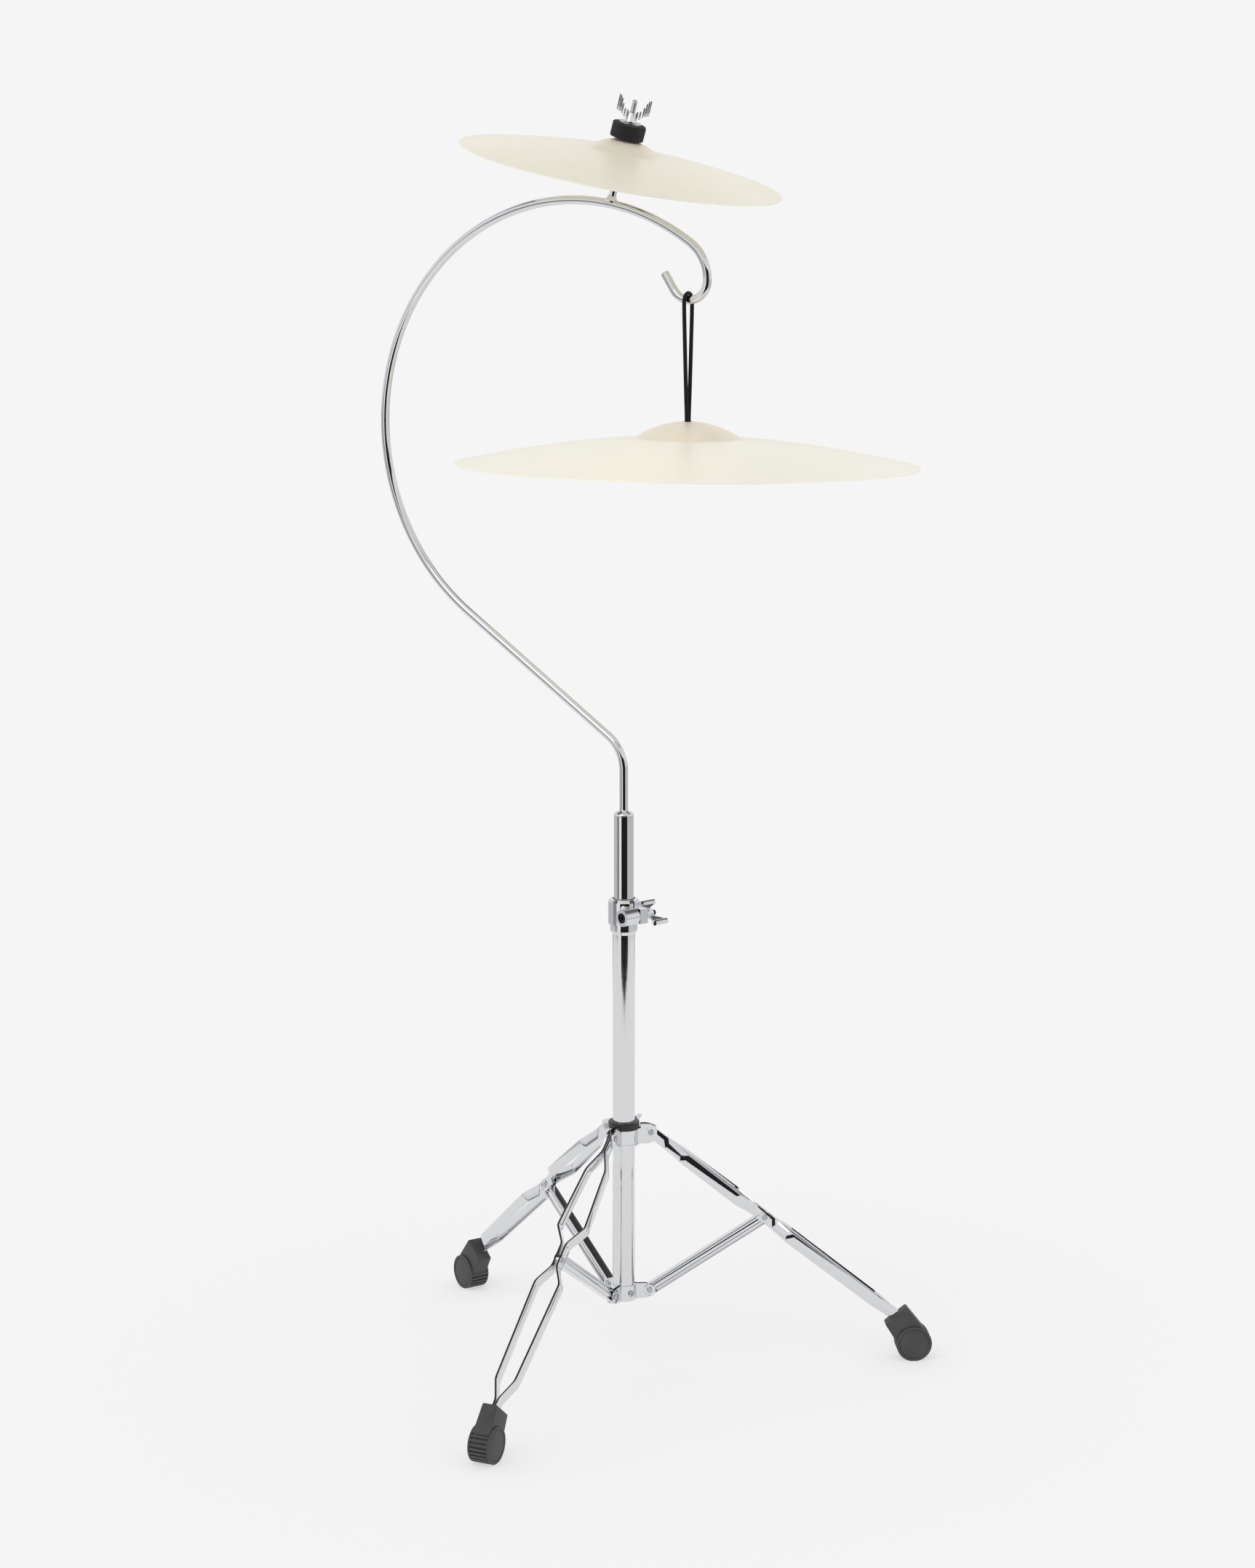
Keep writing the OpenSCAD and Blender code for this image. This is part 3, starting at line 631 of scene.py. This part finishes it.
# %% [markdown]
# ## The wing nut on top
#
# It is a die-cast nut. Each wing starts as a block inside the round body and is extruded outwards,
# growing taller, to a thick outer edge that the fingers push on. The castings' soft corners come
# from a bevel.

# %% Top wing nut
NUT_Z, NUT_TURN = 91.3, math.radians(30)
nut_place = (post_frame @ Matrix.Translation((0, 0, NUT_Z * MM))
             @ Matrix.Rotation(NUT_TURN, 4, "Z"))
nut = turned("top_wing_nut", [(3.05, 0.2), (6.3, 0.2), (6.3, 1.4), (5.6, 2.2), (5.3, 9.5),
                              (4.6, 10.6), (3.05, 10.6)], 40)
sections = [(6.5, 2.6, 12.6, 2.6), (9.5, 4.6, 13.6, 2.4), (12.5, 7.2, 18.4, 2.4),
            (14.6, 9, 23.6, 2.8), (16.4, 9.6, 26.4, 4.4), (18.2, 10.6, 27.4, 4.4)]
wings = []
for side in (1, -1):
    bpy.ops.mesh.primitive_cube_add(size=1, location=(side * 4.4 * MM, 0, 6.6 * MM),
                                    scale=(2 * MM, 2.6 * MM, 9 * MM))
    wing = bpy.context.object
    bpy.ops.object.transform_apply(location=True, rotation=True, scale=True)
    for face in wing.data.polygons:
        face.select = face.normal.x * side > 0.9
    bpy.ops.object.mode_set(mode="EDIT")
    x, low_z, high_z, thick = 5.4, 2.1, 11.1, 2.6
    for next_x, next_low, next_high, next_thick in sections:
        lift = (next_low + next_high - low_z - high_z) / 2
        growth = (next_high - next_low) / (high_z - low_z)
        bpy.ops.mesh.extrude_region_move(TRANSFORM_OT_translate={
            "value": (side * (next_x - x) * MM, 0, lift * MM)})
        bpy.ops.transform.resize(value=(1, next_thick / thick, growth))
        x, low_z, high_z, thick = next_x, next_low, next_high, next_thick
    bpy.ops.object.mode_set(mode="OBJECT")
    rounded(wing, 0.8, 3, 25)
    finished(wing)
    wings.append(wing)
nut = finished(joined(nut, *wings), nut_place, 50)
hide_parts("top_nut")
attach(nut, "top_nut")
nut.data.materials.append(chrome)
print("wing nut made")

# %% [markdown]
# ## The legs
#
# Each leg is two flat steel bars. They lie together at the hub and in the foot and bow apart
# between, so that the leg resists twisting. A bar starts as a short block, and its end face is
# extruded along the bends. Small rounded edges catch the light as rolled bar does.

# %% Leg frames
LEG_SLOPE, LEG_TURN = math.radians(38.5), math.radians(4)
HUB_R, HUB_Z = 30.65, 279


def leg_plane(i):
    return Matrix.Rotation(LEG_TURN + math.radians(120 * (i - 1)), 4, "Z")


def leg_frame(i):
    return (leg_plane(i) @ Matrix.Translation((HUB_R * MM, 0, HUB_Z * MM))
            @ Matrix.Rotation(LEG_SLOPE, 4, "Y"))


DEPTH, THICK = 12.7, 2.4
FOOT_S, FOOT_N = 400.07, -12.45
bar_path = [(-6.35, 1.3), (18, 1.3), (21.5, 1.6), (25, 2.6), (43, 10), (46, 11.2), (50, 12.1),
            (122, 16.4), (125.5, 16.5), (128.5, 15.6), (147, 4), (150, 3), (153.5, 2.75),
            (176, 2.75), (180, 3.1), (183.5, 4.8), (198, 12.8), (202, 14.5), (206, 14.75),
            (326, 11.7), (330, 11.3), (333.5, 10), (351, 2.8), (355, 1.6), (360, 1.3), (FOOT_S - 18, 1.3)]
print("leg bars are", round(bar_path[-1][0] + 6.35), "mm long")

# %% Leg bars
first = bar_path[0]
bpy.ops.mesh.primitive_cube_add(size=1, location=((first[0] + 3) * MM, first[1] * MM, 0),
                                scale=(6 * MM, THICK * MM, DEPTH * MM))
bar = bpy.context.object
bar.name = "leg_bar"
bpy.ops.object.transform_apply(location=True, rotation=True, scale=True)
bpy.ops.object.mode_set(mode="EDIT")
bpy.ops.mesh.select_all(action="DESELECT")
bpy.ops.object.mode_set(mode="OBJECT")
for face in bar.data.polygons:
    face.select = face.normal.x > 0.9
bpy.ops.object.mode_set(mode="EDIT")
here = (first[0] + 6, first[1])
for there in bar_path[1:]:
    bpy.ops.mesh.extrude_region_move(TRANSFORM_OT_translate={
        "value": ((there[0] - here[0]) * MM, (there[1] - here[1]) * MM, 0)})
    here = there
bpy.ops.mesh.select_all(action="DESELECT")
bpy.ops.object.mode_set(mode="OBJECT")
for edge in bar.data.edges:
    a, b = (bar.data.vertices[v].co for v in edge.vertices)
    edge.select = a.x < -6.3 * MM and b.x < -6.3 * MM and abs(a.z - b.z) < 1e-6
bpy.ops.object.mode_set(mode="EDIT")
bpy.ops.mesh.bevel(offset=5.6 * MM, segments=5, affect="EDGES")
bpy.ops.object.mode_set(mode="OBJECT")
rounded(bar, 0.4, 2, 50)
for i in (1, 2, 3):
    for side, word in ((1, "left"), (-1, "right")):
        flip = Matrix.Scale(side, 4, (0, 1, 0))
        piece = copy_of(bar, f"leg_{i}_bar_{word}", leg_frame(i) @ flip, 25)
        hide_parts(f"leg_{i}_strap_{word}")
        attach(piece, f"leg_{i}")
        piece.data.materials.append(chrome)
bpy.data.objects.remove(bar)
print("leg bars made")

# %% [markdown]
# The braces are the same bar, straight, with both ends rounded about their rivets.

# %% Braces
MID_RIVET = 167.5
BRACKET_R, BRACKET_Z = 29.5, 90.7
mid_r, mid_z = HUB_R + MID_RIVET * math.cos(LEG_SLOPE), HUB_Z - MID_RIVET * math.sin(LEG_SLOPE)
BRACE = math.hypot(mid_r - BRACKET_R, mid_z - BRACKET_Z)
brace_slope = math.atan2(mid_z - BRACKET_Z, mid_r - BRACKET_R)
bpy.ops.mesh.primitive_cube_add(size=1, location=(BRACE / 2 * MM, 0, 0),
                                scale=((BRACE + DEPTH) * MM, THICK * MM, DEPTH * MM))
strut = bpy.context.object
bpy.ops.object.transform_apply(location=True, rotation=True, scale=True)
for edge in strut.data.edges:
    a, b = (strut.data.vertices[v].co for v in edge.vertices)
    edge.select = abs(a.y - b.y) > 1e-4
bpy.ops.object.mode_set(mode="EDIT")
bpy.ops.mesh.select_mode(type="EDGE")
bpy.ops.mesh.bevel(offset=6 * MM, segments=6, affect="EDGES")
bpy.ops.object.mode_set(mode="OBJECT")
rounded(strut, 0.4, 2, 50)
for i in (1, 2, 3):
    place = (leg_plane(i) @ Matrix.Translation((BRACKET_R * MM, 0, BRACKET_Z * MM))
             @ Matrix.Rotation(-brace_slope, 4, "Y"))
    piece = copy_of(strut, f"leg_{i}_brace_bar", place, 25)
    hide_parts(f"leg_{i}_brace")
    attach(piece, f"brace_{i}")
    piece.data.materials.append(chrome)
bpy.data.objects.remove(strut)
print("braces are", round(BRACE, 1), "mm between rivets")

# %% [markdown]
# ## The feet
#
# Each foot is one moulding: a boot that grips the ends of the bars, and a round wheel-like tread
# that lies on the floor at any spread of the legs. The wheel's sides are plain raised discs, and
# its tread is grooved across.

# %% Foot wheel
WHEEL_R, WHEEL_W, WHEEL_SIDES = 20.6, 25.0, 52
bpy.ops.mesh.primitive_cylinder_add(vertices=WHEEL_SIDES, radius=WHEEL_R * MM, depth=WHEEL_W * MM,
                                    rotation=(math.pi / 2, 0, 0))
wheel = bpy.context.object
wheel.name = "foot_wheel"
bpy.ops.object.transform_apply(location=True, rotation=True, scale=True)
bpy.ops.object.mode_set(mode="EDIT")
bpy.ops.mesh.select_all(action="DESELECT")
bpy.ops.object.mode_set(mode="OBJECT")
for face in wheel.data.polygons:
    around = math.degrees(math.atan2(face.center.z, face.center.x)) % 360
    every_other = round(around * WHEEL_SIDES / 360 - 0.5) % 2 == 0
    face.select = abs(face.normal.y) < 0.5 and every_other
bpy.ops.object.mode_set(mode="EDIT")
bpy.ops.mesh.inset(thickness=0.3 * MM, depth=0, use_individual=True)
bpy.ops.transform.resize(value=(1, 0.86, 1))
bpy.ops.mesh.extrude_region_move(TRANSFORM_OT_translate={"value": (0, 0, 0)})
bpy.ops.transform.resize(value=(0.9, 1, 0.9))
bpy.ops.mesh.select_all(action="DESELECT")
bpy.ops.object.mode_set(mode="OBJECT")
for face in wheel.data.polygons:
    face.select = abs(face.normal.y) > 0.9 and face.area > 1e-4
bpy.ops.object.mode_set(mode="EDIT")
bpy.ops.mesh.inset(thickness=2.6 * MM, depth=0, use_individual=True)
bpy.ops.mesh.inset(thickness=0.5 * MM, depth=-0.9 * MM, use_individual=True)
bpy.ops.mesh.inset(thickness=0.7 * MM, depth=0, use_individual=True)
bpy.ops.mesh.inset(thickness=0.5 * MM, depth=0.7 * MM, use_individual=True)
bpy.ops.object.mode_set(mode="OBJECT")
rounded(wheel, 0.35, 2, 30)
print("wheel has", len(wheel.data.polygons), "faces")

# %% Foot boot
outline = {(-1, -1): (-40.7, -2.6), (-1, 1): (-33.3, 28.4), (1, 1): (2.0, 20.0),
           (1, -1): (-9.0, -14.0)}
bpy.ops.mesh.primitive_cube_add(size=2 * MM)
boot = bpy.context.object
boot.name = "foot_boot"
for corner, (s, n) in outline.items():
    for vertex in boot.data.vertices:
        vertex.select = ((vertex.co.x > 0) == (corner[0] > 0)
                         and (vertex.co.z > 0) == (corner[1] > 0))
    for edge in boot.data.edges:
        edge.select = all(boot.data.vertices[v].select for v in edge.vertices)
    for face in boot.data.polygons:
        face.select = False
    only(boot)
    bpy.ops.object.mode_set(mode="EDIT")
    bpy.ops.mesh.select_mode(type="VERT")
    bpy.ops.transform.translate(value=((s - corner[0]) * MM, 0, (n - corner[1]) * MM))
    bpy.ops.mesh.select_all(action="DESELECT")
    bpy.ops.object.mode_set(mode="OBJECT")
print("boot outlined")

# %% Boot's width and its mouth
MOUTH_X = -20
for face in boot.data.polygons:
    face.select = (face.center.x < MOUTH_X * MM and abs(face.normal.y) < 0.1
                   and abs(face.normal.x) > 0.6)
only(boot)
bpy.ops.object.mode_set(mode="EDIT")
bpy.ops.mesh.select_mode(type="FACE")
bpy.ops.transform.resize(value=(1, 9.0, 1))
bpy.ops.mesh.select_mode(type="VERT")
bpy.ops.mesh.select_all(action="DESELECT")
bpy.ops.object.mode_set(mode="OBJECT")
for vertex in boot.data.vertices:
    vertex.select = vertex.co.x > MOUTH_X * MM
bpy.ops.object.mode_set(mode="EDIT")
bpy.ops.transform.resize(value=(1, 10.5, 1))
bpy.ops.object.mode_set(mode="OBJECT")
rounded(boot, 1.8, 4, 30)
print("boot is", [round(v / MM, 1) for v in boot.dimensions], "mm")

# %% Feet in place
only(wheel)
bpy.ops.object.modifier_apply(modifier="rounded")
only(boot)
bpy.ops.object.modifier_apply(modifier="rounded")
foot = joined(wheel, boot)
for i in (1, 2, 3):
    place = leg_frame(i) @ Matrix.Translation((FOOT_S * MM, 0, FOOT_N * MM))
    piece = copy_of(foot, f"leg_{i}_rubber_foot", place)
    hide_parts(f"leg_{i}_foot")
    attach(piece, f"leg_{i}")
    piece.data.materials.append(rubber)
bpy.data.objects.remove(foot)
print("feet made")

# %% [markdown]
# ## Finishes on the frame's own parts
#
# What is left is right as it stands: the clamp, the hub, the brackets, rivets, screws and washers.
# Each takes the finish of its slot in the record.

# %% Frame parts
finish_of = {"chrome": chrome, "steel": zinc, "nylon": nylon, "rubber": rubber, "felt": felt,
             "cord": braid}
slots = {entry["node"]: entry["material_slot"] for entry in frame["record"]["subparts"]}
for name, part in nodes.items():
    part.data.materials.clear()
    part.data.materials.append(
        blackened if name == "clamp_bolt" else finish_of.get(slots[name], chrome))
print("finished", len(nodes), "frame parts")

# %% [markdown]
# ## The studio
#
# The room is white, with a pale floor. Chrome shows its surroundings, so there are dark and bright
# fields that only reflections can see: a dark one in front, on the floor and a little way up the
# wall, and a dark ceiling. The front field's sides are lines of constant X over Y.

# %% Room
BACKDROP = "#f5f5f5"
DARK_RIGHT, DARK_LEFT, DARK_TOP = -0.9, 0.53, 0.22


def where_all(tree, mask, tests):
    for value, edge, test in tests:
        passed = add(tree, "ShaderNodeMath", {0: value, 1: edge}, operation=test)
        mask = add(tree, "ShaderNodeMath", {0: mask, 1: passed}, operation="MULTIPLY")
    return mask


world = bpy.data.worlds.new("white_room")
bpy.context.scene.world = world
world.use_nodes = True
tree = world.node_tree
tree.nodes.clear()
direction = add(tree, "ShaderNodeTexCoord").outputs["Generated"]
height = add(tree, "ShaderNodeSeparateXYZ", {"Vector": direction})
steeper = add(tree, "ShaderNodeMapRange", {"Value": height.outputs["Z"], "To Min": 0.5,
                                           "To Max": 1.0})
walls = add(tree, "ShaderNodeValToRGB", {"Fac": steeper})
ramp = walls.color_ramp
ramp.elements[0].position, ramp.elements[0].color = 0.5, (0.80, 0.80, 0.81, 1)
ramp.elements[1].position, ramp.elements[1].color = 1.0, (0.03, 0.03, 0.03, 1)
for at, shade in ((0.62, 0.92), (0.78, 0.8), (0.85, 0.25), (0.92, 0.05)):
    stop = ramp.elements.new(at)
    stop.color = (shade, shade, shade * 1.01, 1)
slope = add(tree, "ShaderNodeMath", {0: height.outputs["X"], 1: height.outputs["Y"]},
            operation="DIVIDE")
front = add(tree, "ShaderNodeMath", {0: height.outputs["Y"], 1: 0.0}, operation="LESS_THAN")
doorway = where_all(tree, front, ((slope, DARK_RIGHT, "GREATER_THAN"),
                                  (slope, DARK_LEFT, "LESS_THAN"),
                                  (height.outputs["Z"], DARK_TOP, "LESS_THAN")))
behind = add(tree, "ShaderNodeMix", {"Factor": doorway}, data_type="RGBA")
tree.links.new(walls.outputs["Color"], behind.inputs[6])
behind.inputs[7].default_value = (0.02, 0.02, 0.021, 1)
room = add(tree, "ShaderNodeBackground", {"Color": behind.outputs[2], "Strength": 1.0})
plain = add(tree, "ShaderNodeBackground", {"Color": linear(BACKDROP), "Strength": 1.0})
soft = add(tree, "ShaderNodeBackground", {"Color": (1, 1, 1, 1), "Strength": 1.0})
rays = add(tree, "ShaderNodeLightPath")
not_gloss = add(tree, "ShaderNodeMixShader", {0: rays.outputs["Is Glossy Ray"], 1: soft.outputs[0],
                                              2: room.outputs[0]})
seen = add(tree, "ShaderNodeMixShader", {0: rays.outputs["Is Camera Ray"],
                                         1: not_gloss.outputs[0], 2: plain.outputs[0]})
add(tree, "ShaderNodeOutputWorld", {"Surface": seen.outputs[0]})
bpy.context.scene.view_settings.view_transform = "Standard"
print("room lit")

# %% [markdown]
# The floor is pale grey under the stand and fades into the backdrop. Beyond its edge it carries
# the reflected fields: grey, then from right to left a dark one, a white one and a dim one.

# %% Floor
FIELD_EDGE, FIELD_FULL, WHITE_LEFT, DIM_LEFT = 1.62, 1.7, 1.43, 9
bpy.ops.mesh.primitive_plane_add(size=30)
floor = bpy.context.object
floor.name = "studio_floor"
ground, tree, body = finish_named("pale_floor", Roughness=0.9)
output = tree.nodes["Material Output"]
body.inputs["Base Color"].default_value = linear("#e8e8e8")
body.inputs["Specular IOR Level"].default_value = 0.0
where = add(tree, "ShaderNodeTexCoord").outputs["Object"]
away = add(tree, "ShaderNodeVectorMath", {0: where}, operation="LENGTH")
far = add(tree, "ShaderNodeMapRange", {"Value": away.outputs["Value"], "From Min": 0.45,
                                       "From Max": 0.9}, interpolation_type="SMOOTHSTEP")
glow = add(tree, "ShaderNodeEmission", {"Color": linear(BACKDROP), "Strength": 1.0})
paler = add(tree, "ShaderNodeMixShader", {0: 0.6, 1: body, 2: glow})
fading = add(tree, "ShaderNodeMixShader", {0: far, 1: paler, 2: glow})
parts = add(tree, "ShaderNodeSeparateXYZ", {"Vector": where})
slope = add(tree, "ShaderNodeMath", {0: parts.outputs["X"], 1: parts.outputs["Y"]},
            operation="DIVIDE")
aside = slope
for step, amount in (("ADD", 0.1), ("ABSOLUTE", 0.0), ("MULTIPLY", 0.35), ("MINIMUM", 0.5)):
    aside = add(tree, "ShaderNodeMath", {0: aside, 1: amount}, operation=step)
past = add(tree, "ShaderNodeMath", {0: away.outputs["Value"], 1: aside}, operation="SUBTRACT")
edge_out = add(tree, "ShaderNodeMapRange", {"Value": past, "From Min": FIELD_EDGE,
                                            "From Max": FIELD_FULL})
grey = add(tree, "ShaderNodeEmission", {"Color": (0.62, 0.62, 0.63, 1)})
dark = add(tree, "ShaderNodeEmission", {"Color": (0.012, 0.012, 0.013, 1)})
white = add(tree, "ShaderNodeEmission", {"Color": (1.0, 1.0, 1.0, 1)})
dim = add(tree, "ShaderNodeEmission", {"Color": (0.28, 0.28, 0.285, 1)})
front = add(tree, "ShaderNodeMath", {0: parts.outputs["Y"], 1: 0.0}, operation="LESS_THAN")
# In front, X over Y falls from left to right, because Y is negative there.
card = grey
for right, left, field in ((DARK_RIGHT, DARK_LEFT, dark), (DARK_LEFT, WHITE_LEFT, white),
                           (WHITE_LEFT, DIM_LEFT, dim)):
    inside = where_all(tree, front, ((slope, right, "GREATER_THAN"), (slope, left, "LESS_THAN")))
    card = add(tree, "ShaderNodeMixShader", {0: inside, 1: card, 2: field})
rays = add(tree, "ShaderNodeLightPath")
near_far = add(tree, "ShaderNodeMixShader", {0: edge_out, 1: fading, 2: card})
final = add(tree, "ShaderNodeMixShader", {0: rays.outputs["Is Glossy Ray"], 1: fading,
                                          2: near_far})
tree.links.new(final.outputs[0], output.inputs["Surface"])
floor.data.materials.append(ground)
print("floor and its reflected fields ready")

# %% [markdown]
# One broad, weak sun from the front left gives the soft shadows on the floor.

# %% Key light
sun = bpy.data.lights.new("key", "SUN")
sun.energy = 0.5
sun.angle = math.radians(50)
lamp = bpy.data.objects.new("key_light", sun)
lamp.rotation_euler = (math.radians(42), 0, math.radians(-35))
bpy.context.scene.collection.objects.link(lamp)
print("key light hung")
